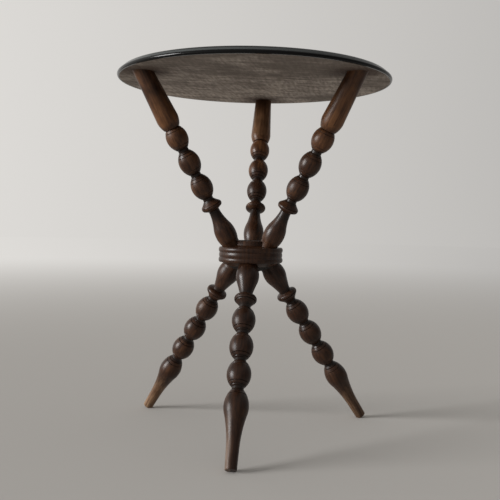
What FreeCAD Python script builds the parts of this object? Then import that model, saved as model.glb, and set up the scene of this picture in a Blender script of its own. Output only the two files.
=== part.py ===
import FreeCAD, Part

import math
import os

import Sketcher

# A round occasional table on two tripods of turned legs that meet in a turned boss.
# The origin is on the floor, on the axis of the round top, with +Z up.
# Sizes are in millimetres and degrees. A station is a distance along a leg's own axis,
# counted from the point where that axis crosses the axis of the table.
SIZES = {
    # Round top, with a moulded edge
    "top_diameter": 491,
    "top_height": 647,
    "board_thickness": 14,
    "edge_bead_height": 6.4,
    "edge_bead_bulge": 1.8,
    "edge_quirk": 2.2,
    "edge_ovolo_run": 11,
    # Boss
    "boss_share": 0.497,
    "bead_height": 9,
    "bead_diameter": 117,
    "band_height": 9,
    "band_diameter": 115.4,
    "quirk_diameter": 113.6,
    "dome_diameter": 106,
    "dome_depth": 18,
    "cove_rise": 4,
    "cove_hollow": 1,
    "crown_diameter": 76,
    "crown_height": 12.1,
    "crown_round": 2,
    # How the legs stand
    "leg_count": 3,
    "first_azimuth": 75,
    "leg_inset": 37.2,
    "upper_drop": 49.4,
    "foot_overreach": 4.1,
    "lower_rise": 34.9,
    # Joints
    "fit_clearance": 0.1,
    "boss_tenon_diameter": 18,
    "boss_tenon_length": 26,
    "boss_tenon_gap": 1,
    "top_tenon_diameter": 16,
    "top_tenon_length": 8.5,
    "top_tenon_gap": 0.5,
    # Turning of the upper legs, from the boss outwards
    "upper_seat": 72,
    "upper_spigot_length": 12,
    "upper_spigot_diameter": 32,
    "upper_bulb_rise": 17,
    "upper_bulb_diameter": 37.8,
    "upper_bulb_fall": 15,
    "upper_tail_diameter": 32.8,
    "upper_tail_length": 28.2,
    "upper_tail_hollow": 1.1,
    "upper_waist_diameter": 19.4,
    "upper_waist_length": 4.5,
    "upper_undercut": 4.3,
    "upper_rim_width": 8,
    "upper_rim_diameter": 38,
    "upper_rim_round": 1.6,
    "upper_flare": 8.4,
    "upper_flare_hollow": 0.4,
    "upper_neck_diameter": 18.6,
    "upper_neck_length": 4,
    "upper_ball_diameter": 38.2,
    "groove_reach": 17.4,
    "groove_diameter": 26.6,
    "shoulder_length": 18.8,
    "shoulder_swell": 1.3,
    "shoulder_diameter": 38.8,
    "upper_top_length": 89.5,
    "upper_top_diameter": 32,
    # Turning of the lower legs, from the boss outwards
    "lower_seat": 60,
    "lower_spigot_length": 12,
    "lower_spigot_diameter": 35.5,
    "lower_bulb_rise": 13,
    "lower_bulb_diameter": 40.8,
    "lower_bulb_fall": 16,
    "lower_tail_diameter": 34.8,
    "lower_tail_length": 20.6,
    "lower_tail_hollow": 0.2,
    "lower_waist_diameter": 22.4,
    "lower_waist_length": 4.2,
    "lower_undercut": 3,
    "lower_rim_width": 8.3,
    "lower_rim_diameter": 39.3,
    "lower_rim_round": 1.6,
    "lower_flare": 9.6,
    "lower_flare_hollow": 0.6,
    "lower_neck_diameter": 19.8,
    "lower_neck_length": 4,
    "lower_ball_diameter": 40.5,
    "foot_bulb_rise": 24.6,
    "foot_bulb_diameter": 40.6,
    "foot_bulb_fall": 18,
    "foot_shank_diameter": 36.1,
    "foot_hollow_length": 60,
    "foot_hollow": 1.9,
    "foot_ankle_diameter": 20.6,
    "foot_tip_length": 27.9,
    "foot_tip_diameter": 19.3,
    "foot_round": 1.2,
    "foot_lift": 3.8,
}

BALLS = 3
# How far a trimming cut reaches to each side, in diameters of what it trims
TRIM_REACH = 1.5
FULL_TURN = 360
HALF_TURN = 180
# How far the middle of a quarter round stands in from the corner it replaces, in radii
ROUND_CORNER = "(1 - cos(45))"

doc = FreeCAD.newDocument("gypsy_table")
sheet = doc.addObject("Spreadsheet::Sheet", "sizes")
for row, (alias, number) in enumerate(SIZES.items(), start=1):
    sheet.set(f"A{row}", alias)
    sheet.set(f"B{row}", str(number))
    sheet.setAlias(f"B{row}", alias)
doc.recompute()

# Levels, slopes and stations that more than one piece uses
UNDERSIDE = "(sizes.top_height - sizes.board_thickness)"
BOSS_LEVEL = "(sizes.boss_share * sizes.top_height)"
BOSS_BASE = f"({BOSS_LEVEL} - sizes.band_height / 2 - sizes.bead_height - sizes.dome_depth)"
CROSSING = {
    "upper": f"({BOSS_LEVEL} - sizes.upper_drop)",
    "lower": f"({BOSS_LEVEL} + sizes.lower_rise)",
}
LEG_RISE = f"({UNDERSIDE} - {CROSSING['upper']})"
LEG_REACH = "(sizes.top_diameter / 2 - sizes.leg_inset)"
FOOT_REACH = "(sizes.top_diameter / 2 + sizes.foot_overreach)"
SLOPE = {
    "upper": f"({LEG_REACH} / {LEG_RISE})",
    "lower": f"({FOOT_REACH} / {CROSSING['lower']})",
}
SPLAY = {kind: f"(atan({slope}) / 1 deg)" for kind, slope in SLOPE.items()}
LEG_TOP = f"sqrt({LEG_RISE} ^ 2 + {LEG_REACH} ^ 2)"
TENON_END = f"({LEG_TOP} + sizes.top_tenon_length)"
TENON_ROOT = f"({LEG_TOP} - sizes.upper_top_diameter * {SLOPE['upper']})"
FLOOR = f"sqrt({CROSSING['lower']} ^ 2 + {FOOT_REACH} ^ 2)"
FOOT_END = f"({FLOOR} * (1 - sizes.foot_lift / {CROSSING['lower']}))"


def value(text):
    """The number that an expression on the sheet comes to."""
    return float(sheet.evalExpression(text))


def half(text):
    return f"({text} / 2)"


def middle(first, second):
    return f"(({first} + {second}) / 2)"


def plane_of(body, role):
    """One of the body's own origin planes or axes."""
    return next(item for item in body.Origin.OriginFeatures if item.Role == role)


def pin_coordinate(sketch, name, axis, corner, text):
    """Ties one coordinate of a sketch corner to an expression on the sheet."""
    geometry, end = corner
    if text == "0":
        on_axis = -2 if axis == "X" else -1
        sketch.addConstraint(Sketcher.Constraint("PointOnObject", geometry, end, on_axis))
        return
    number = value(text)
    if number < 0:
        rule = Sketcher.Constraint(f"Distance{axis}", geometry, end, -1, 1, -number)
        text = f"-({text})"
    else:
        rule = Sketcher.Constraint(f"Distance{axis}", -1, 1, geometry, end, number)
    index = sketch.addConstraint(rule)
    sketch.renameConstraint(index, f"{name}_{axis.lower()}")
    sketch.setExpression(f"Constraints.{name}_{axis.lower()}", text)


def add_edge(sketch, start, through, finish):
    """Adds a line, or an arc through a third point. Returns its start and finish as corners."""
    if through is None:
        line = sketch.addGeometry(Part.LineSegment(start, finish))
        return (line, 1), (line, 2)
    circle = Part.Circle(start, through, finish)
    turn = (through - start).cross(finish - through).z
    first, last = (start, finish) if turn > 0 else (finish, start)
    angles = [math.atan2((p - circle.Center).y, (p - circle.Center).x) for p in (first, last)]
    upright = Part.Circle(circle.Center, FreeCAD.Vector(0, 0, 1), circle.Radius)
    arc = sketch.addGeometry(Part.ArcOfCircle(upright, *angles))
    return ((arc, 1), (arc, 2)) if turn > 0 else ((arc, 2), (arc, 1))


def draw(body, name, steps, offset=None):
    """A closed sketch on the body's XZ plane, with every corner tied to the sheet.

    Each step is (x, y) for a straight edge to that corner, or (x, y, through_x, through_y) for an arc
    that passes through the second point. A straight edge closes the outline.
    """
    sketch = body.newObject("Sketcher::SketchObject", name)
    sketch.AttachmentSupport = [(plane_of(body, "XZ_Plane"), "")]
    sketch.MapMode = "FlatFace"
    if offset:
        sketch.setExpression("AttachmentOffset", offset)
    corners = [FreeCAD.Vector(value(step[0]), value(step[1]), 0) for step in steps]
    edges = []
    for index, step in enumerate(steps[1:] + steps[:1]):
        through = None
        if len(step) == 4:
            through = FreeCAD.Vector(value(step[2]), value(step[3]), 0)
        start, finish = corners[index], corners[(index + 1) % len(steps)]
        edges.append(add_edge(sketch, start, through, finish))
        if through is not None:
            mark = sketch.addGeometry(Part.Point(through), True)
            arc = edges[-1][0][0]
            sketch.addConstraint(Sketcher.Constraint("PointOnObject", mark, 1, arc))
            pin_coordinate(sketch, f"through{index}", "X", (mark, 1), step[2])
            pin_coordinate(sketch, f"through{index}", "Y", (mark, 1), step[3])
    for index, step in enumerate(steps):
        before, after = edges[index - 1][1], edges[index][0]
        sketch.addConstraint(Sketcher.Constraint("Coincident", *before, *after))
        pin_coordinate(sketch, f"corner{index}", "X", after, step[0])
        pin_coordinate(sketch, f"corner{index}", "Y", after, step[1])
    return sketch


def new_body(label, placement):
    body = doc.addObject("PartDesign::Body", label)
    body.Label = label
    body.setExpression("Placement", placement)
    return body


def turn_up(body, name, steps, kind="Revolution", offset=None):
    """Turns an outline about its own Y axis, to add material or, as a Groove, to cut it."""
    sketch = draw(body, f"{name}_outline", steps, offset)
    feature = body.newObject(f"PartDesign::{kind}", name)
    feature.Profile = sketch
    feature.ReferenceAxis = (sketch, ["V_Axis"])
    feature.Angle = FULL_TURN
    doc.recompute()
    return feature


def trim(body, name, station, slope, diameter, high_side):
    """Saws off all beyond a plane that meets the axis at station and rises by slope on its high side."""
    low_side = "" if high_side == "-" else "-"
    reach = f"({TRIM_REACH} * {diameter})"
    low, high = f"({station} - {slope} * {reach})", f"({station} + {slope} * {reach})"
    steps = [(f"{low_side}{reach}", low), (f"{high_side}{reach}", high), (f"{low_side}{reach}", high)]
    cut = body.newObject("PartDesign::Pocket", name)
    cut.Profile = draw(body, f"{name}_outline", steps)
    cut.Type = "ThroughAll"
    cut.SideType = "Symmetric"
    doc.recompute()


def round_the_table(body, name, feature):
    """Repeats a cut for each leg of a tripod."""
    pattern = body.newObject("PartDesign::PolarPattern", name)
    pattern.Originals = [feature]
    pattern.Axis = (plane_of(body, "Z_Axis"), [""])
    pattern.Angle = FULL_TURN
    pattern.setExpression("Occurrences", "sizes.leg_count")
    body.Tip = pattern
    doc.recompute()


def azimuth(place, opposite):
    """Direction of one leg of a tripod. The lower tripod stands opposite the upper one."""
    turned = f" + {HALF_TURN}" if opposite else ""
    return f"(sizes.first_azimuth{turned} + {place} * {FULL_TURN} / sizes.leg_count)"


def top_board():
    place = f"placement(vector(0; 0; {UNDERSIDE}); rotation(sizes.first_azimuth; 0; 0))"
    body = new_body("top_board", place)
    radius = half("sizes.top_diameter")
    bead_foot = f"({radius} - sizes.edge_bead_bulge)"
    quirk = f"({bead_foot} - sizes.edge_quirk)"
    ovolo_end = f"({quirk} - sizes.edge_ovolo_run)"
    ovolo_rise = "(sizes.board_thickness - sizes.edge_bead_height)"
    ovolo_radius = f"((sizes.edge_ovolo_run ^ 2 + {ovolo_rise} ^ 2) / (2 * {ovolo_rise}))"
    ovolo_turn = f"asin(sizes.edge_ovolo_run / {ovolo_radius})"
    steps = [
        ("0", "0"),
        (bead_foot, "0"),
        (bead_foot, "sizes.edge_bead_height", radius, half("sizes.edge_bead_height")),
        (quirk, "sizes.edge_bead_height"),
        (
            ovolo_end,
            "sizes.board_thickness",
            f"({ovolo_end} + {ovolo_radius} * sin({ovolo_turn} / 2))",
            f"(sizes.board_thickness - {ovolo_radius} * (1 - cos({ovolo_turn} / 2)))",
        ),
        ("0", "sizes.board_thickness"),
    ]
    turn_up(body, "board_disc", steps)
    hole = f"({half('sizes.top_tenon_diameter')} + sizes.fit_clearance)"
    bottom = f"({TENON_END} + sizes.top_tenon_gap)"
    steps = [("0", TENON_ROOT), (hole, TENON_ROOT), (hole, bottom), ("0", bottom)]
    crossing = f"vector(0; {CROSSING['upper']} - {UNDERSIDE}; 0)"
    offset = f"placement({crossing}; rotation(-{SPLAY['upper']}; 0; 0))"
    round_the_table(body, "tenon_holes", turn_up(body, "tenon_hole", steps, "Groove", offset))
    return body


def boss():
    place = f"placement(vector(0; 0; {BOSS_BASE}); rotation(sizes.first_azimuth; 0; 0))"
    body = new_body("boss", place)
    quirk, bead = half("sizes.quirk_diameter"), half("sizes.bead_diameter")
    rim, crown = half("sizes.dome_diameter"), half("sizes.crown_diameter")
    dome_radius = f"(({rim} ^ 2 + sizes.dome_depth ^ 2) / (2 * sizes.dome_depth))"
    dome_middle = f"({dome_radius} - sqrt({dome_radius} ^ 2 - ({rim} / 2) ^ 2))"
    lower_bead = "sizes.dome_depth"
    band = f"({lower_bead} + sizes.bead_height)"
    upper_bead = f"({band} + sizes.band_height)"
    shoulder = f"({upper_bead} + sizes.bead_height)"
    cove = f"({shoulder} + sizes.cove_rise)"
    top = f"({shoulder} + sizes.crown_height)"
    corner = f"(sizes.crown_round * {ROUND_CORNER})"
    steps = [
        ("0", "0"),
        (rim, lower_bead, half(rim), dome_middle),
        (quirk, lower_bead),
        (quirk, band, bead, middle(lower_bead, band)),
        (quirk, upper_bead, half("sizes.band_diameter"), middle(band, upper_bead)),
        (quirk, shoulder, bead, middle(upper_bead, shoulder)),
        (rim, shoulder),
        (crown, cove, middle(rim, crown), f"({middle(shoulder, cove)} - sizes.cove_hollow)"),
        (crown, f"({top} - sizes.crown_round)"),
        (f"({crown} - sizes.crown_round)", top, f"({crown} - {corner})", f"({top} - {corner})"),
        ("0", top),
    ]
    turn_up(body, "boss_turning", steps)
    for kind, lean in (("upper", f"-{SPLAY['upper']}"), ("lower", f"{HALF_TURN} - {SPLAY['lower']}")):
        centre = f"vector(0; {CROSSING[kind]} - {BOSS_BASE}; 0)"
        offset = f"placement({centre}; rotation({lean}; 0; 0))"
        socket = turn_up(body, f"{kind}_socket", socket_outline(kind), "Groove", offset)
        round_the_table(body, f"{kind}_sockets", socket)
    return body


def socket_outline(kind):
    """The hole that takes a leg: a narrow bore for its tenon, then a wider one for its spigot."""
    seat = f"sizes.{kind}_seat"
    bore = f"({half('sizes.boss_tenon_diameter')} + sizes.fit_clearance)"
    wide = f"({half(f'sizes.{kind}_spigot_diameter')} + sizes.fit_clearance)"
    mouth = f"({half(f'sizes.{kind}_bulb_diameter')} + sizes.fit_clearance)"
    spigot = f"({seat} + sizes.{kind}_spigot_length)"
    bottom = f"({seat} - sizes.boss_tenon_length - sizes.boss_tenon_gap)"
    outside = f"({seat} + sizes.bead_diameter / 2)"
    return [
        ("0", bottom),
        (bore, bottom),
        (bore, seat),
        (wide, seat),
        (wide, spigot),
        (mouth, spigot),
        (mouth, outside),
        ("0", outside),
    ]


def turning(kind, whole_balls, balls, balls_end):
    """Outline of a leg from its tenon in the boss to the end of the neck after so many whole balls.

    The pitch of the balls is what lets the given number of them end at balls_end.
    """
    seat = f"sizes.{kind}_seat"
    tenon, spigot = half("sizes.boss_tenon_diameter"), half(f"sizes.{kind}_spigot_diameter")
    tail, waist = half(f"sizes.{kind}_tail_diameter"), half(f"sizes.{kind}_waist_diameter")
    rim, neck = half(f"sizes.{kind}_rim_diameter"), half(f"sizes.{kind}_neck_diameter")
    lip = f"({rim} - sizes.{kind}_rim_round)"
    tenon_end = f"({seat} - sizes.boss_tenon_length)"
    spigot_end = f"({seat} + sizes.{kind}_spigot_length)"
    bulb_at = f"({spigot_end} + sizes.{kind}_bulb_rise)"
    tail_at = f"({bulb_at} + sizes.{kind}_bulb_fall)"
    waist_at = f"({tail_at} + sizes.{kind}_tail_length)"
    collar_at = f"({waist_at} + sizes.{kind}_waist_length)"
    rim_at = f"({collar_at} + sizes.{kind}_undercut)"
    flare_at = f"({rim_at} + sizes.{kind}_rim_width)"
    neck_at = f"({flare_at} + sizes.{kind}_flare)"
    ball_at = f"({neck_at} + sizes.{kind}_neck_length)"
    tail_middle = f"({middle(tail, waist)} - sizes.{kind}_tail_hollow)"
    flare_middle = f"({middle(lip, neck)} - sizes.{kind}_flare_hollow)"
    steps = [
        ("0", tenon_end),
        (tenon, tenon_end),
        (tenon, seat),
        (spigot, seat),
        (spigot, spigot_end),
        (tail, tail_at, half(f"sizes.{kind}_bulb_diameter"), bulb_at),
        (waist, waist_at, tail_middle, middle(tail_at, waist_at)),
        (waist, collar_at),
        (lip, rim_at),
        (lip, flare_at, rim, middle(rim_at, flare_at)),
        (neck, neck_at, flare_middle, middle(flare_at, neck_at)),
        (neck, ball_at),
    ]
    pitch = f"(({balls_end} - {ball_at}) / {balls})"
    for _ in range(whole_balls):
        next_ball = f"({ball_at} + {pitch})"
        next_neck = f"({next_ball} - sizes.{kind}_neck_length)"
        steps.append((neck, next_neck, half(f"sizes.{kind}_ball_diameter"), middle(ball_at, next_neck)))
        steps.append((neck, next_ball))
        ball_at = next_ball
    return steps


def upper_leg(label, place):
    leg_azimuth = azimuth(place, False)
    lean = f"rotation({leg_azimuth}; {SPLAY['upper']}; 0)"
    body = new_body(label, f"placement(vector(0; 0; {CROSSING['upper']}); {lean})")
    shoulder_at = f"({LEG_TOP} - sizes.upper_top_length)"
    groove_at = f"({shoulder_at} - sizes.shoulder_length)"
    last_ball = f"({groove_at} - sizes.groove_reach)"
    # The last ball runs into the groove with no neck, so the balls end half way along it
    balls_end = f"({last_ball} + sizes.upper_neck_length / 2)"
    steps = turning("upper", BALLS - 1, BALLS - 0.5, balls_end)
    groove, shoulder = half("sizes.groove_diameter"), half("sizes.shoulder_diameter")
    leg_blank = f"({LEG_TOP} + sizes.upper_top_diameter * {SLOPE['upper']})"
    swell = f"({middle(groove, shoulder)} + sizes.shoulder_swell)"
    steps += [
        (groove, groove_at, half("sizes.upper_ball_diameter"), last_ball),
        (shoulder, shoulder_at, swell, middle(groove_at, shoulder_at)),
        (half("sizes.upper_top_diameter"), LEG_TOP),
        (half("sizes.upper_top_diameter"), leg_blank),
        ("0", leg_blank),
    ]
    turn_up(body, f"{label}_turning", steps)
    trim(body, f"{label}_shoulder", LEG_TOP, SLOPE["upper"], "sizes.upper_top_diameter", "")
    tenon = half("sizes.top_tenon_diameter")
    steps = [("0", TENON_ROOT), (tenon, TENON_ROOT), (tenon, TENON_END), ("0", TENON_END)]
    turn_up(body, f"{label}_tenon", steps)
    return body


def lower_leg(label, place):
    leg_azimuth = azimuth(place, True)
    lean = f"rotation({leg_azimuth}; {HALF_TURN} - {SPLAY['lower']}; 0)"
    body = new_body(label, f"placement(vector(0; 0; {CROSSING['lower']}); {lean})")
    ankle_at = f"({FOOT_END} - sizes.foot_tip_length)"
    shank_at = f"({ankle_at} - sizes.foot_hollow_length)"
    bulb_at = f"({shank_at} - sizes.foot_bulb_fall)"
    steps = turning("lower", BALLS, BALLS, f"({bulb_at} - sizes.foot_bulb_rise)")
    shank, ankle = half("sizes.foot_shank_diameter"), half("sizes.foot_ankle_diameter")
    tip, corner = half("sizes.foot_tip_diameter"), f"(sizes.foot_round * {ROUND_CORNER})"
    hollow = f"({middle(shank, ankle)} - sizes.foot_hollow)"
    steps += [
        (shank, shank_at, half("sizes.foot_bulb_diameter"), bulb_at),
        (ankle, ankle_at, hollow, middle(shank_at, ankle_at)),
        (tip, f"({FOOT_END} - sizes.foot_round)"),
        (f"({tip} - sizes.foot_round)", FOOT_END, f"({tip} - {corner})", f"({FOOT_END} - {corner})"),
        ("0", FOOT_END),
    ]
    turn_up(body, f"{label}_turning", steps)
    trim(body, f"{label}_sole", FLOOR, SLOPE["lower"], "sizes.foot_tip_diameter", "-")
    return body


pieces = [top_board(), boss()]
for number, side in enumerate(("back", "left", "right")):
    pieces.append(upper_leg(f"upper_leg_{side}", number))
for number, side in enumerate(("front", "right", "left")):
    pieces.append(lower_leg(f"lower_leg_{side}", number))
doc.recompute()

# Nothing is written unless every feature and every solid is sound
for item in doc.Objects:
    if "Invalid" in item.State or "Error" in item.State:
        raise RuntimeError(f"{item.Label} did not build")
for piece in pieces:
    if piece.Shape.isNull() or not piece.Shape.isValid() or len(piece.Shape.Solids) != 1:
        raise RuntimeError(f"{piece.Label} is not one sound solid")
os.makedirs("parts", exist_ok=True)
for piece in pieces:
    piece.Shape.exportStep(f"parts/{piece.Label}.step")
    print(piece.Label, round(piece.Shape.Volume), "mm3")
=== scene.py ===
import math

import bmesh
import bpy
from mathutils import Matrix, Vector


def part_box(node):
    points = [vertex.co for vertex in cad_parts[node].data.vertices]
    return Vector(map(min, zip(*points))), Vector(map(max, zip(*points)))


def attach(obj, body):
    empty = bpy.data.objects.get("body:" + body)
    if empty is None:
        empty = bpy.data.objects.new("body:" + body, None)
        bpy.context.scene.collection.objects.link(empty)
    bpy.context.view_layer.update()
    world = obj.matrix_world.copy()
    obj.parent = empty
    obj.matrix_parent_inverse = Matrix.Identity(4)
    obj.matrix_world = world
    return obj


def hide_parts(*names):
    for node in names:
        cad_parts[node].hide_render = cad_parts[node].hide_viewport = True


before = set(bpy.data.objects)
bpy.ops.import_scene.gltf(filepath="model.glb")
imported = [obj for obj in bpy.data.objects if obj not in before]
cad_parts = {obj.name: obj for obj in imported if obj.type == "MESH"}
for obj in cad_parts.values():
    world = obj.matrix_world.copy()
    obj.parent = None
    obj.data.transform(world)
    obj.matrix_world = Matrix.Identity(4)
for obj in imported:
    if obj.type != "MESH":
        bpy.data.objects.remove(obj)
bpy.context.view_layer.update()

# How the legs stand, in metres and degrees: where a leg's axis crosses the table's, and how far it leans
FIRST_AZIMUTH = 75
LEG_SPACING = 120
OPPOSITE = 180
UPPER_SPLAY = 30
UPPER_CROSSING = 0.2722
LOWER_SPLAY = 35
LOWER_CROSSING = 0.3565
UPPER_LEGS = ("upper_leg_back", "upper_leg_left", "upper_leg_right")
LOWER_LEGS = ("lower_leg_front", "lower_leg_right", "lower_leg_left")

# Stations along the legs' lathe axes, in metres from that crossing
UPPER_BALLS_FROM = 0.172
UPPER_BALLS = (0.1953, 0.2431, 0.2908)
UPPER_GROOVE = 0.3084
UPPER_PLAIN_END = 0.317
LOWER_BALLS_FROM = 0.149
LOWER_BALLS = (0.1736, 0.2234, 0.2731)
LOWER_PLAIN_END = 0.315

# Lines scored round the legs, by station, or on the balls by distance from their middles
UPPER_BALL_LINES = (-0.0182, -0.0128, 0.0128, 0.0182)
UPPER_COLLAR_LINES = (0.1545, 0.1595)
LOWER_BALL_LINES = (-0.02, -0.0152, 0.0152, 0.02)
LOWER_COLLAR_LINES = (0.1334, 0.1374)
FOOT_LINES = (0.3038, 0.3097)
FINE_LINE = 0.0009
BROAD_LINE = 0.0013

# Meshes of the legs: points this near are one point, or lie on a cut, and sharper edges are creases
SAME_POINT = 0.000002
NEAR_CUT = 0.00005
CREASE = 32

# Boss, in metres: how far its dull crown and its foot darkened with painted shade reach from its ends
BOSS_CROWN = 0.006
BOSS_SHADED_FOOT = 0.0125

# Round top, in metres and degrees
BOARD_LOW, BOARD_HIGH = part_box("top_board")
UNDERSIDE = BOARD_LOW.z
BOARD_RADIUS = (BOARD_HIGH.x - BOARD_LOW.x) / 2
EDGE_WIDTH = 0.0152
EDGE_BEAD_TOP = UNDERSIDE + 0.0064
EDGE_BEAD_BLEND = 0.0002
# Heights where the painted sheen band on the upper moulding ends
SHEEN_BAND_TO = (UNDERSIDE + 0.0095, UNDERSIDE + 0.0112)
POLISHED_FROM = (UNDERSIDE + 0.002, UNDERSIDE + 0.004)
PAINT_SPILL = (BOARD_RADIUS - 0.0032, BOARD_RADIUS - 0.0026)
BRUSH_RAGGED = 0.0022
LEG_REACH = 0.2083
LEG_STAIN_AND_SHADOW = (0.016, 0.07)
SAW_SLANT = 20

# Colours of the finishes, and of painted shade and sheen
STAIN_DARK = (0.0155, 0.0062, 0.0032, 1)
STAIN_LIGHT = (0.045, 0.0178, 0.0083, 1)
WORN_DARK = (0.082, 0.031, 0.0118, 1)
WORN_LIGHT = (0.178, 0.078, 0.031, 1)
HONEY = (0.25, 0.135, 0.07, 1)
RUBBED = (0.31, 0.205, 0.122, 1)
# Greyish scuff on the front foot, which is also a painted sheen on its lit side
SCUFF_AND_SHEEN = (0.2, 0.157, 0.126, 1)
# Dark of grime in the pores, and painted shade in the recesses, the scored lines and under the boss
GRIME_AND_SHADE = (0.0065, 0.0036, 0.0024, 1)
BARE_DARK = (0.188, 0.158, 0.136, 1)
BARE_LIGHT = (0.6, 0.515, 0.445, 1)
# Stains of the underside, which also carry its painted shade
BARE_STAIN_AND_SHADE = (0.15, 0.122, 0.101, 1)
EBONY = (0.002, 0.002, 0.0022, 1)
# Painted sheen of the ebonised upper moulding
EBONY_PAINTED_SHEEN = (0.066, 0.071, 0.07, 1)

# Noise for the figure of the wood, and the waves that the saw left
BLOTCHES = {"stretch": (1, 1, 0.6), "scale": 38}
STREAKS = {"stretch": (1, 1, 0.06), "scale": 260, "detail": 6, "roughness": 0.65}
PORES = {"stretch": (1, 1, 0.035), "scale": 900, "detail": 2}
BOARD_GRAIN = {"stretch": (0.14, 1, 1), "scale": 110, "detail": 6, "roughness": 0.6, "distortion": 1.0}
BOARD_STAINS = {"stretch": (0.8, 1, 1), "scale": 11, "roughness": 0.6}
SAW_FLAKES = {"stretch": (1, 0.2, 1), "scale": 190, "roughness": 0.6}
SAW_WAVES = {"Scale": 30, "Distortion": 5, "Detail": 3, "Detail Scale": 2}
BRUSH_STROKES = {"stretch": (1, 1, 1), "scale": 60}

# Spans over which a finish comes in or fades
GRAIN_SPAN = (0.3, 0.72)
WEAR_SPAN = (0.4, 0.72)
RUBBED_SPAN = (0.3, 0.6)
PORE_SPAN = (0.56, 0.7)
POLISH_SPAN = (0.35, 0.7)
FIBRE_SPAN = (0.35, 0.65)
SAW_SPAN = (0.25, 0.9)
STAIN_AND_SHADE_SPAN = (0.38, 0.66)
SPREAD_SPAN = (0.3, 0.6)
BOARD_POLISH_SPAN = (0.3, 0.7)
SHEEN_SIDE_SPAN = (-0.1, 0.75)
RECESS_SPAN = (0.0, 0.5)
LINE_SPAN = (0.0, 0.7)

# How strong the finishes are, as shares, and how the painted shade of the underside changes with each metre
# to the back
RECESS_GRIME_AND_SHADE = 0.75
LINE_GRIME_AND_SHADE = 0.88
PORE_GRIME = 0.45
BULB_WEAR = 0.45
BOSS_WEAR = 0.18
BOSS_STAIN = 0.9
BOSS_DULLED = 0.4
GRAIN_SHARE = 0.55
SAW_SHARE = 0.22
STAIN_AND_SHADE_SHARE = 0.8
SPREAD_SHARES = (0.95, 0.6)
PAINTED_SHADE_TO_BACK = -0.62

# Gloss and relief, with distances in metres
WOOD_ROUGHNESS = (0.31, 0.45)
WOOD_SPECULAR = 0.26
WOOD_RELIEF = {"Strength": 0.75, "Distance": 0.00007}
BOARD_ROUGHNESS = (0.85, 0.16)
BOARD_SPECULAR = 0.2
SAWN_RELIEF = {"Strength": 0.6, "Distance": 0.0012}

# Distances from the lathe axis between which grime and painted shade give way to wear
UPPER_RECESS = (0.0088, 0.017)
LOWER_RECESS = (0.0088, 0.0175)

# Lengths over which one finish goes over to the next
END_BLEND = 0.004
BALLS_BLEND = 0.001
BOSS_SHADED_FOOT_BLEND = 0.003

# Stain and wear in the order of the legs, with the stations where rubbing stops and is strongest
UPPER_WEAR = (0.95, 0.55, 0.7)
UPPER_TOPS_WORN = (0.36, 0.12, 0.32)
UPPER_RUBBED_STOPS = (0.46, 0.385, 0.41)
UPPER_RUBBED_MOST = 0.335
UPPER_RUBBED_COLOUR = (HONEY, WORN_LIGHT, WORN_LIGHT)
UPPER_RUBBED_SHARE = 0.9
LOWER_WEAR = (0.12, 0.15, 0.42)
LOWER_STAIN = (0.75, 0.9, 1.0)
FOOT_RUBBED_STOPS = 0.33
FOOT_RUBBED_MOST = 0.41
FOOT_RUBBED_COLOUR = (SCUFF_AND_SHEEN, RUBBED, RUBBED)
FOOT_RUBBED_SHARE = (0.8, 0.45, 1.0)
# The front foot is paler only toward its lit side: a painted sheen as well as wear
FOOT_RUBBED_AND_SHEEN_SIDE = ((0, -1, 0), None, None)

# Room
FLOOR_RADIUS = 12
FLOOR_NEAR = 0.7
FLOOR_SIDES = 96
FLOOR_PAINT = (0.5, 0.48, 0.455, 1)
WINDOW_SIDE = Vector((-3.3, -0.3, 0.85))
WINDOW_SPREAD = 25
WINDOW_POWER = 3.6
PALE_SIDE = (-0.85, 0.53, 0)
PALE_SPAN = (-0.9, 0.9)
CEILING_SPAN = (0.3, 0.85)
ROOM_DARK = (0.18, 0.176, 0.172, 1)
ROOM_PALE = (0.8, 0.78, 0.75, 1)
CEILING = (0.4, 0.395, 0.385, 1)

# Photograph's viewpoint, in metres, degrees and millimetres of lens
CAMERA_PLACE = Vector((-0.2318, -1.3636, 0.386))
CAMERA_TURN = 9.59
CAMERA_PITCH = 2.32
CAMERA_ROLL = 1.29
SENSOR_WIDTH = 36
LENS = 54.57


def shader(name):
    """A new material, with its node tree and its Principled shader."""
    material = bpy.data.materials.new(name)
    material.use_nodes = True
    tree = material.node_tree
    return material, tree, tree.nodes["Principled BSDF"]


def add(tree, kind, inputs=None, **settings):
    """Adds a node. Inputs are numbers, colours or other nodes' sockets, by name or by place."""
    node = tree.nodes.new(kind)
    for key, setting in settings.items():
        setattr(node, key, setting)
    for key, value in (inputs or {}).items():
        if isinstance(value, bpy.types.NodeSocket):
            tree.links.new(value, node.inputs[key])
        else:
            node.inputs[key].default_value = value
    return node


def arithmetic(tree, operation, first, second, clamp=False):
    node = add(tree, "ShaderNodeMath", {0: first, 1: second}, operation=operation, use_clamp=clamp)
    return node.outputs[0]


def vectors(tree, operation, first, second=(0, 0, 0)):
    return add(tree, "ShaderNodeVectorMath", {0: first, 1: second}, operation=operation).outputs


def ramp_between(tree, value, low, high, start=0.0, finish=1.0):
    """A value that goes smoothly from start to finish while the given one goes from low to high."""
    inputs = {"Value": value, "From Min": low, "From Max": high, "To Min": start, "To Max": finish}
    return add(tree, "ShaderNodeMapRange", inputs, interpolation_type="SMOOTHSTEP").outputs[0]


def blend_colours(tree, share, first, second):
    """The first colour, going over to the second as the share goes from 0 to 1."""
    inputs = {0: share, 6: first, 7: second}
    return add(tree, "ShaderNodeMix", data_type="RGBA", inputs=inputs).outputs[2]


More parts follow.
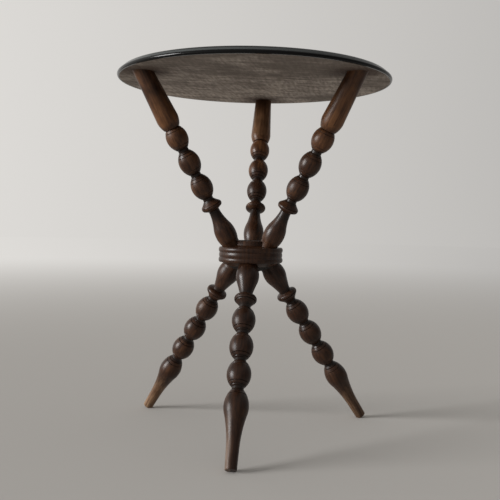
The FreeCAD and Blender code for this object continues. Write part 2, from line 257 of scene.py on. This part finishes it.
def stretched_noise(tree, place, stretch, scale, detail=4, roughness=0.55, distortion=0.0):
    """Noise in metres, drawn out along the axes with the smaller stretch numbers."""
    inputs = {"Vector": vectors(tree, "MULTIPLY", place, stretch)[0], "Scale": scale, "Detail": detail}
    inputs |= {"Roughness": roughness, "Distortion": distortion}
    return add(tree, "ShaderNodeTexNoise", inputs).outputs["Fac"]


def object_place(tree):
    return add(tree, "ShaderNodeTexCoord").outputs["Object"]


def own_axes(tree, height, splay, azimuth):
    """Place on the piece in its own lathe axes: z runs along the turning, x and y across it."""
    turned = (0, math.radians(splay), math.radians(azimuth))
    inputs = {"Vector": object_place(tree), "Location": (0, 0, height), "Rotation": turned}
    return add(tree, "ShaderNodeMapping", inputs, vector_type="TEXTURE").outputs[0]


def distance_from_axis(tree, place):
    flat = vectors(tree, "MULTIPLY", place, (1, 1, 0))[0]
    return vectors(tree, "LENGTH", flat)["Value"]


def share_of(colour, share):
    return tuple(share * part for part in colour[:3]) + (1,)


def wood_figure(tree, place, height, splay, azimuth):
    """Blotches, streaks and pores of a turned piece, which differ from piece to piece by how it stands."""
    shifted = vectors(tree, "ADD", place, (azimuth, splay, height))[0]
    return [stretched_noise(tree, shifted, **figure) for figure in (BLOTCHES, STREAKS, PORES)]


def stained_and_worn(tree, grain, stain_share):
    """Grained colours of the turned wood under its stain and where the stain is worn."""
    dark, light = share_of(STAIN_DARK, stain_share), share_of(STAIN_LIGHT, stain_share)
    return blend_colours(tree, grain, dark, light), blend_colours(tree, grain, WORN_DARK, WORN_LIGHT)


def rubbed_and_sheen_share(tree, place, blotches, stations, share, side):
    """How far a plain end is rubbed down to bare wood, all round or only toward a side across the leg, where
    the paler colour is a painted sheen on its lit side as well as wear.
    """
    station = add(tree, "ShaderNodeSeparateXYZ", {0: place}).outputs["Z"]
    uneven = ramp_between(tree, blotches, *RUBBED_SPAN, share / 2, share)
    rubbed = arithmetic(tree, "MULTIPLY", ramp_between(tree, station, *stations), uneven)
    # Toward one side only: painted sheen on the lit side, as well as wear
    if side:
        toward_side = vectors(tree, "DOT_PRODUCT", place, side)["Value"]
        facing_sheen_side = arithmetic(tree, "DIVIDE", toward_side, distance_from_axis(tree, place))
        rubbed = arithmetic(tree, "MULTIPLY", rubbed, ramp_between(tree, facing_sheen_side, *SHEEN_SIDE_SPAN))
    return rubbed


def polish_wood(tree, wood, colour, figure, dulled=None):
    """Fills the pores with grime, and gives the turned wood its uneven polish and its grain."""
    blotches, streaks, pores = figure
    filled = ramp_between(tree, pores, *PORE_SPAN, 0.0, PORE_GRIME)
    tree.links.new(blend_colours(tree, filled, colour, GRIME_AND_SHADE), wood.inputs["Base Color"])
    polish = ramp_between(tree, blotches, *POLISH_SPAN, *WOOD_ROUGHNESS)
    if dulled:
        polish = arithmetic(tree, "ADD", polish, dulled)
    tree.links.new(polish, wood.inputs["Roughness"])
    relief = add(tree, "ShaderNodeBump", {"Height": streaks, **WOOD_RELIEF})
    tree.links.new(relief.outputs[0], wood.inputs["Normal"])
    wood.inputs["Specular IOR Level"].default_value = WOOD_SPECULAR


def leg_finish(name, stance, recess, balls_from, plain_end, wear, end, end_colour, tops_worn=0.0, stain=1.0):
    """Dark stained and polished wood, with grime and painted shade in the turned recesses and wear on the
    crowns.

    recess are the distances from the lathe axis between which grime and painted shade give way to wear. The
    row of balls starts at the station balls_from, and the plain end at plain_end. wear is how much the
    crowns are rubbed, tops_worn how much that grows from the first ball to the last, and stain the share of
    its lightness that the stain keeps. The plain end is rubbed to end_colour, and end says how: the stations
    where that stops and is strongest, its share, and the side of the leg, or None for all round.
    """
    material, tree, wood = shader(f"{name}_finish")
    place = own_axes(tree, *stance)
    station = add(tree, "ShaderNodeSeparateXYZ", {0: place}).outputs["Z"]
    figure = wood_figure(tree, place, *stance)
    blotches, streaks = figure[:2]
    grain = ramp_between(tree, streaks, *GRAIN_SPAN)
    stained, worn = stained_and_worn(tree, grain, stain)

    on_end = ramp_between(tree, station, plain_end - END_BLEND, plain_end + END_BLEND)
    past_collar = ramp_between(tree, station, balls_from - BALLS_BLEND, balls_from)
    on_balls = arithmetic(tree, "SUBTRACT", past_collar, on_end, clamp=True)
    crown = ramp_between(tree, distance_from_axis(tree, place), *recess)
    crown = arithmetic(tree, "MAXIMUM", crown, on_end)

    growing = ramp_between(tree, station, balls_from, plain_end, -tops_worn / 2, tops_worn / 2)
    handled = arithmetic(tree, "ADD", blotches, arithmetic(tree, "MULTIPLY", growing, on_balls))
    exposed = arithmetic(tree, "MULTIPLY", ramp_between(tree, past_collar, 0, 1, BULB_WEAR, 1.0), crown)
    patches = arithmetic(tree, "MULTIPLY", exposed, ramp_between(tree, handled, *WEAR_SPAN, 0.0, wear))
    colour = blend_colours(tree, patches, stained, worn)
    rubbed = arithmetic(tree, "MULTIPLY", rubbed_and_sheen_share(tree, place, blotches, **end), on_end)
    colour = blend_colours(tree, rubbed, colour, blend_colours(tree, grain, worn, end_colour))

    # Painted shade: the recesses near the lathe axis darkened with grime and shade
    grime_and_shade_in_recess = ramp_between(tree, crown, *RECESS_SPAN, RECESS_GRIME_AND_SHADE, 0.0)
    colour = blend_colours(tree, grime_and_shade_in_recess, colour, GRIME_AND_SHADE)
    # Grime and painted shade in the bottoms of the scored lines
    scored = add(tree, "ShaderNodeAttribute", attribute_name="scored").outputs["Fac"]
    filled = ramp_between(tree, scored, *LINE_SPAN, 0.0, LINE_GRIME_AND_SHADE)
    colour = blend_colours(tree, filled, colour, GRIME_AND_SHADE)
    polish_wood(tree, wood, colour, figure)
    return material


def boss_finish():
    """The legs' wood on the boss, with a dull crown and a dull foot darkened with painted shade."""
    material, tree, wood = shader("boss_finish")
    stance = (0, 0, FIRST_AZIMUTH)
    low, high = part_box("boss")
    crown_from, shaded_foot_to = high.z - BOSS_CROWN, low.z + BOSS_SHADED_FOOT
    place = own_axes(tree, *stance)
    level = add(tree, "ShaderNodeSeparateXYZ", {0: place}).outputs["Z"]
    figure = wood_figure(tree, place, *stance)
    blotches, streaks = figure[:2]
    stained, worn = stained_and_worn(tree, ramp_between(tree, streaks, *GRAIN_SPAN), BOSS_STAIN)
    colour = blend_colours(tree, ramp_between(tree, blotches, *WEAR_SPAN, 0.0, BOSS_WEAR), stained, worn)
    # Painted shade: the foot of the boss darkened to near black
    darkened = ramp_between(tree, level, shaded_foot_to - BOSS_SHADED_FOOT_BLEND, shaded_foot_to, 1.0, 0.0)
    colour = blend_colours(tree, darkened, colour, GRIME_AND_SHADE)
    on_crown = ramp_between(tree, level, crown_from - END_BLEND, crown_from + END_BLEND)
    dull = arithmetic(tree, "MAXIMUM", on_crown, darkened)
    polish_wood(tree, wood, colour, figure, dulled=arithmetic(tree, "MULTIPLY", dull, BOSS_DULLED))
    return material


def near_leg_tops(tree, place):
    """How near a point of the underside is to a leg, from 0 far off to 1 at its axis."""
    nearest = None
    for number in range(len(UPPER_LEGS)):
        azimuth = math.radians(FIRST_AZIMUTH + number * LEG_SPACING)
        top = (LEG_REACH * math.cos(azimuth), LEG_REACH * math.sin(azimuth), UNDERSIDE)
        away = vectors(tree, "DISTANCE", place, top)["Value"]
        nearest = away if nearest is None else arithmetic(tree, "MINIMUM", nearest, away)
    return ramp_between(tree, nearest, *LEG_STAIN_AND_SHADOW, 1.0, 0.0)


def sawn_underside(tree, place, grain):
    """Colour and fibres of the bare wood below: sawn across, with stains and painted shade growing toward
    the front, and stain and painted shadow round the legs.
    """
    turned = (0, 0, math.radians(SAW_SLANT))
    slanting = add(tree, "ShaderNodeMapping", {"Vector": place, "Rotation": turned}).outputs[0]
    flakes = stretched_noise(tree, slanting, **SAW_FLAKES)
    grain_part = arithmetic(tree, "MULTIPLY", grain, GRAIN_SHARE)
    flake_part = arithmetic(tree, "MULTIPLY", flakes, 1 - GRAIN_SHARE)
    fibres = ramp_between(tree, arithmetic(tree, "ADD", grain_part, flake_part), *FIBRE_SPAN)
    bare = blend_colours(tree, fibres, BARE_DARK, BARE_LIGHT)

    waves = {"Vector": slanting, **SAW_WAVES}
    saw = add(tree, "ShaderNodeTexWave", waves, bands_direction="X").outputs["Fac"]
    bare = blend_colours(tree, ramp_between(tree, saw, *SAW_SPAN, 0.0, SAW_SHARE), bare, BARE_DARK)

    stains = stretched_noise(tree, place, **BOARD_STAINS)
    # Stains of the underside, with painted shade that darkens them more toward the front
    depth = add(tree, "ShaderNodeSeparateXYZ", {0: place}).outputs["Y"]
    shade_to_back = arithmetic(tree, "MULTIPLY", depth, PAINTED_SHADE_TO_BACK)
    darkened = ramp_between(tree, arithmetic(tree, "ADD", stains, shade_to_back), *STAIN_AND_SHADE_SPAN, 0.0, STAIN_AND_SHADE_SHARE)
    bare = blend_colours(tree, darkened, bare, BARE_STAIN_AND_SHADE)
    # Stain spilled round the leg tops, which also stands for the painted shadow of the legs on the underside
    uneven = ramp_between(tree, stains, *SPREAD_SPAN, *SPREAD_SHARES)
    stain_and_shadow_spread = arithmetic(tree, "MULTIPLY", near_leg_tops(tree, place), uneven)
    return blend_colours(tree, stain_and_shadow_spread, bare, STAIN_LIGHT), fibres


def board_finish():
    """Bare sawn wood below, an ebonised moulded edge with a painted sheen band on its upper moulding, and a
    dark polish on top.
    """
    material, tree, wood = shader("board_finish")
    place = object_place(tree)
    level = add(tree, "ShaderNodeSeparateXYZ", {0: place}).outputs["Z"]
    radius = distance_from_axis(tree, place)
    grain = stretched_noise(tree, place, **BOARD_GRAIN)
    bare, fibres = sawn_underside(tree, place, grain)
    polish = blend_colours(tree, ramp_between(tree, grain, *BOARD_POLISH_SPAN), STAIN_DARK, STAIN_LIGHT)

    above = ramp_between(tree, level, *POLISHED_FROM)
    ragged = arithmetic(tree, "MULTIPLY", stretched_noise(tree, place, **BRUSH_STROKES), BRUSH_RAGGED)
    spill = ramp_between(tree, arithmetic(tree, "ADD", radius, ragged), *PAINT_SPILL)
    edge = arithmetic(tree, "GREATER_THAN", radius, BOARD_RADIUS - EDGE_WIDTH)
    black = arithmetic(tree, "MAXIMUM", arithmetic(tree, "MULTIPLY", above, edge), spill)
    # Painted sheen: a paler band on the upper moulding, just above the bead, stands for its reflection
    over_bead = ramp_between(tree, level, EDGE_BEAD_TOP - EDGE_BEAD_BLEND, EDGE_BEAD_TOP + EDGE_BEAD_BLEND)
    painted_sheen_band = arithmetic(tree, "SUBTRACT", over_bead, ramp_between(tree, level, *SHEEN_BAND_TO), clamp=True)
    colour = blend_colours(tree, above, bare, polish)
    colour = blend_colours(tree, black, colour, blend_colours(tree, painted_sheen_band, EBONY, EBONY_PAINTED_SHEEN))
    tree.links.new(colour, wood.inputs["Base Color"])

    smooth = arithmetic(tree, "MAXIMUM", above, black)
    tree.links.new(ramp_between(tree, smooth, 0, 1, *BOARD_ROUGHNESS), wood.inputs["Roughness"])
    rough_fibres = arithmetic(tree, "MULTIPLY", fibres, arithmetic(tree, "SUBTRACT", 1.0, smooth))
    relief = add(tree, "ShaderNodeBump", {"Height": rough_fibres, **SAWN_RELIEF})
    tree.links.new(relief.outputs[0], wood.inputs["Normal"])
    wood.inputs["Specular IOR Level"].default_value = BOARD_SPECULAR
    return material


def finish_node(name, material):
    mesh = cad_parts[name].data
    mesh.materials.clear()
    mesh.materials.append(material)


def lathe_axis(splay, azimuth):
    lean = Matrix.Rotation(math.radians(splay), 3, "Y")
    turn = Matrix.Rotation(math.radians(azimuth), 3, "Z")
    return turn @ lean @ Vector((0, 0, 1))


def cut_ring(shape, centre, axis):
    """Cuts the turning across at this point of its axis, and puts the new points on a true circle."""
    everything = shape.verts[:] + shape.edges[:] + shape.faces[:]
    cut = bmesh.ops.bisect_plane(shape, geom=everything, dist=NEAR_CUT, plane_co=centre, plane_no=axis)
    ring = [part for part in cut["geom_cut"] if isinstance(part, bmesh.types.BMVert)]
    radius = max((point.co - centre).length for point in ring)
    for point in ring:
        point.co = centre + radius * (point.co - centre).normalized()
    return ring


def score_line(shape, centre, axis, depth):
    """Sinks a V groove round the turning, as wide to each side as it is deep, and marks its bottom."""
    for brink in (-depth, depth):
        cut_ring(shape, centre + brink * axis, axis)
    bottom = cut_ring(shape, centre, axis)
    shape.normal_update()
    scored = shape.verts.layers.float["scored"]
    for point in bottom:
        point.co -= depth * point.normal
        point[scored] = 1.0


def scored_leg(name, stance, lines, material):
    """The leg's own turning, with the lines that the turner scored round it, given as station and depth."""
    height, splay, azimuth = stance
    axis = lathe_axis(splay, azimuth)
    shape = bmesh.new()
    shape.from_mesh(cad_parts[name].data)
    bmesh.ops.remove_doubles(shape, verts=shape.verts, dist=SAME_POINT)
    shape.verts.layers.float.new("scored")
    for station, depth in lines:
        score_line(shape, Vector((0, 0, height)) + station * axis, axis, depth)
    shape.normal_update()
    for face in shape.faces:
        face.smooth = True
    for edge in shape.edges:
        edge.smooth = edge.calc_face_angle(0.0) < math.radians(CREASE)
    mesh = bpy.data.meshes.new(f"{name}_turning")
    shape.to_mesh(mesh)
    shape.free()
    mesh.materials.append(material)
    leg = bpy.data.objects.new(f"{name}_turned", mesh)
    bpy.context.scene.collection.objects.link(leg)
    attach(leg, "root")
    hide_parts(name)


def upper_legs():
    on_balls = [ball + line for ball in UPPER_BALLS for line in UPPER_BALL_LINES]
    lines = [(station, FINE_LINE) for station in on_balls if station < UPPER_GROOVE]
    lines += [(station, BROAD_LINE) for station in (*UPPER_COLLAR_LINES, UPPER_GROOVE)]
    for number, name in enumerate(UPPER_LEGS):
        stance = (UPPER_CROSSING, UPPER_SPLAY, FIRST_AZIMUTH + number * LEG_SPACING)
        rubbed = (UPPER_RUBBED_STOPS[number], UPPER_RUBBED_MOST)
        wood = leg_finish(
            name, stance, UPPER_RECESS, UPPER_BALLS_FROM, UPPER_PLAIN_END, wear=UPPER_WEAR[number],
            end={"stations": rubbed, "share": UPPER_RUBBED_SHARE, "side": None},
            end_colour=UPPER_RUBBED_COLOUR[number], tops_worn=UPPER_TOPS_WORN[number])
        scored_leg(name, stance, lines, wood)


def lower_legs():
    on_balls = [ball + line for ball in LOWER_BALLS for line in LOWER_BALL_LINES]
    lines = [(station, FINE_LINE) for station in (*on_balls, *FOOT_LINES)]
    lines += [(station, BROAD_LINE) for station in LOWER_COLLAR_LINES]
    for number, name in enumerate(LOWER_LEGS):
        azimuth = FIRST_AZIMUTH + OPPOSITE + number * LEG_SPACING
        stance = (LOWER_CROSSING, OPPOSITE - LOWER_SPLAY, azimuth)
        rubbed = (FOOT_RUBBED_STOPS, FOOT_RUBBED_MOST)
        share, side = FOOT_RUBBED_SHARE[number], FOOT_RUBBED_AND_SHEEN_SIDE[number]
        wood = leg_finish(
            name, stance, LOWER_RECESS, LOWER_BALLS_FROM, LOWER_PLAIN_END, wear=LOWER_WEAR[number],
            end={"stations": rubbed, "share": share, "side": side},
            end_colour=FOOT_RUBBED_COLOUR[number], stain=LOWER_STAIN[number])
        scored_leg(name, stance, lines, wood)


def room_colour(tree, direction):
    """Colour of the room, paler at the back left, and even overhead."""
    toward_pale = vectors(tree, "DOT_PRODUCT", direction, PALE_SIDE)["Value"]
    inputs = {"Value": toward_pale, "From Min": PALE_SPAN[0], "From Max": PALE_SPAN[1]}
    walls = blend_colours(tree, add(tree, "ShaderNodeMapRange", inputs).outputs[0], ROOM_DARK, ROOM_PALE)
    rise = add(tree, "ShaderNodeSeparateXYZ", {0: direction}).outputs["Z"]
    return blend_colours(tree, ramp_between(tree, rise, *CEILING_SPAN), walls, CEILING)


def floor_paint():
    """Plain pale paint, which runs into the colour of the room far off."""
    material, tree, paint = shader("floor_paint")
    paint.inputs["Base Color"].default_value = FLOOR_PAINT
    paint.inputs["Roughness"].default_value = 1.0
    paint.inputs["Specular IOR Level"].default_value = 0.0
    place = object_place(tree)
    outward = vectors(tree, "NORMALIZE", place)[0]
    distance = ramp_between(tree, distance_from_axis(tree, place), FLOOR_NEAR, FLOOR_RADIUS / 2)
    ray = add(tree, "ShaderNodeLightPath").outputs
    seen = arithmetic(tree, "ADD", ray["Is Camera Ray"], ray["Is Glossy Ray"])
    seen = arithmetic(tree, "ADD", seen, ray["Is Transmission Ray"], clamp=True)
    far = add(tree, "ShaderNodeEmission", {"Color": room_colour(tree, outward)}).outputs[0]
    share = arithmetic(tree, "MULTIPLY", distance, seen)
    whole = add(tree, "ShaderNodeMixShader", {0: share, 1: paint.outputs[0], 2: far})
    tree.links.new(whole.outputs[0], tree.nodes["Material Output"].inputs["Surface"])
    return material


def pale_floor():
    mesh = bpy.data.meshes.new("floor")
    shape = bmesh.new()
    bmesh.ops.create_circle(shape, cap_ends=True, segments=FLOOR_SIDES, radius=FLOOR_RADIUS)
    shape.to_mesh(mesh)
    shape.free()
    mesh.materials.append(floor_paint())
    floor = bpy.data.objects.new("floor", mesh)
    bpy.context.scene.collection.objects.link(floor)


def studio_light():
    """A soft lamp like a window on the left, in a pale room."""
    lamp = bpy.data.lights.new("window", "SUN")
    lamp.angle = math.radians(WINDOW_SPREAD)
    lamp.energy = WINDOW_POWER
    window = bpy.data.objects.new("window", lamp)
    window.rotation_euler = (-WINDOW_SIDE).to_track_quat("-Z", "Y").to_euler()
    bpy.context.scene.collection.objects.link(window)

    world = bpy.data.worlds.new("room")
    world.use_nodes = True
    bpy.context.scene.world = world
    tree = world.node_tree
    direction = add(tree, "ShaderNodeTexCoord").outputs["Generated"]
    tree.links.new(room_colour(tree, direction), tree.nodes["Background"].inputs["Color"])


def photograph_camera():
    lens = bpy.data.cameras.new("camera")
    lens.sensor_width = SENSOR_WIDTH
    lens.lens = LENS
    camera = bpy.data.objects.new("camera", lens)
    upright = Matrix.Rotation(math.radians(90 - CAMERA_PITCH), 4, "X")
    turn = Matrix.Rotation(math.radians(-CAMERA_TURN), 4, "Z")
    roll = Matrix.Rotation(math.radians(CAMERA_ROLL), 4, "Z")
    camera.matrix_world = Matrix.Translation(CAMERA_PLACE) @ turn @ upright @ roll
    bpy.context.scene.collection.objects.link(camera)
    bpy.context.scene.camera = camera


finish_node("top_board", board_finish())
finish_node("boss", boss_finish())
upper_legs()
lower_legs()
pale_floor()
studio_light()
photograph_camera()
bpy.context.scene.view_settings.view_transform = "Standard"
